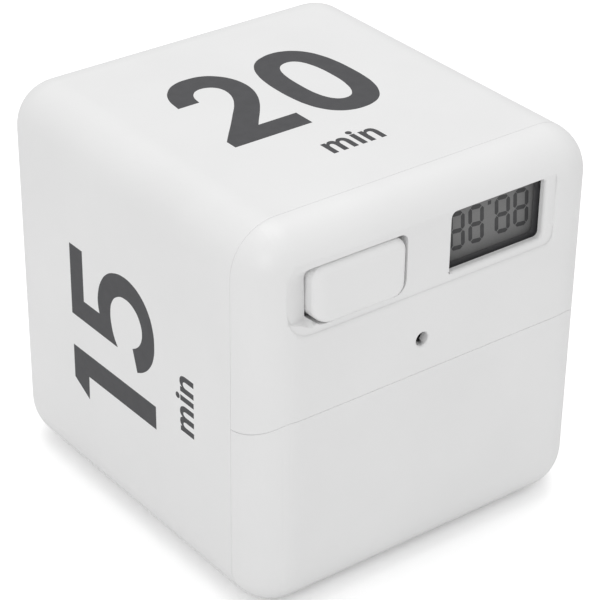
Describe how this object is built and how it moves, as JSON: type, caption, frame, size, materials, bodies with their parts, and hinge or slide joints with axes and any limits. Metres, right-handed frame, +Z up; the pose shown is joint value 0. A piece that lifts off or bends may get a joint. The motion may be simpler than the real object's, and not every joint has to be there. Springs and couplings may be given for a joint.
{
  "type": "cube timer",
  "caption": "Rounded cube timer with plain numbers on its sides, a sunk display window and push button on the front, and a lift-off battery cover.",
  "frame": {"origin": "middle of the rest face, under the middle of the cube", "axes": "+Z up through the top face with the number 20, -Y out of the front with the display and the button, -X out of the side with the number 15"},
  "size_m": [0.0614, 0.0662, 0.062],
  "materials": {
    "white_moulding": "fine satin moulding",
    "button_moulding": "satin moulding",
    "inner_moulding": "plain moulding",
    "display_glass": "grey display glass",
    "circuit_board": "solder mask",
    "black_moulding": "black moulding",
    "conductive_rubber": "matt",
    "bright_steel": "nickel plated",
    "red_insulation": "extruded",
    "black_insulation": "extruded",
    "cell_jacket": "plain film jacket"
  },
  "bodies": {
    "case": {"main_housing": "white_moulding", "front_panel": "white_moulding", "battery_bay": "inner_moulding", "switch_body": "black_moulding", "lcd_glass": "display_glass", "lcd_frame": "black_moulding", "zebra_strip": "conductive_rubber", "main_board": "circuit_board", "buzzer": "black_moulding", "chip_blob": "black_moulding", "crystal": "bright_steel", "capacitor": "black_moulding", "chip_resistor_1": "black_moulding", "chip_resistor_2": "black_moulding", "chip_resistor_3": "black_moulding", "chip_resistor_4": "black_moulding", "chip_resistor_5": "black_moulding", "tilt_can_left": "bright_steel", "tilt_can_right": "bright_steel", "tilt_base_left": "black_moulding", "tilt_base_right": "black_moulding", "board_screw_1": "bright_steel", "board_screw_2": "bright_steel", "board_screw_3": "bright_steel", "board_screw_4": "bright_steel", "bay_screw_left": "bright_steel", "bay_screw_right": "bright_steel", "cell_upper": "cell_jacket", "cell_lower": "cell_jacket", "spring_upper": "bright_steel", "spring_lower": "bright_steel", "contact_link": "bright_steel", "contact_plus": "bright_steel", "contact_minus": "bright_steel", "lead_red": "red_insulation", "lead_black": "black_insulation"},
    "button": {"power_button": "button_moulding", "switch_plunger": "inner_moulding"},
    "cover": {"battery_cover": "white_moulding"},
    "ball_left": {"tilt_ball_left": "bright_steel"},
    "ball_right": {"tilt_ball_right": "bright_steel"}
  },
  "joints": [
    {"name": "power_push", "type": "slide", "parent": "case", "child": "button", "axis": [0, 1, 0], "range_m": [0, 0.0015], "stiffness_N_per_m": 800, "springref_m": -0.0005},
    {"name": "cover_pull", "type": "slide", "parent": "case", "child": "cover", "axis": [0, -1, 0], "range_m": [0, 0.016]},
    {"name": "tilt_roll_left", "type": "slide", "parent": "case", "child": "ball_left", "axis": [-0.7071, 0, 0.7071], "range_m": [0, 0.0027]},
    {"name": "tilt_roll_right", "type": "slide", "parent": "case", "child": "ball_right", "axis": [0.7071, 0, 0.7071], "range_m": [0, 0.0027]}
  ]
}
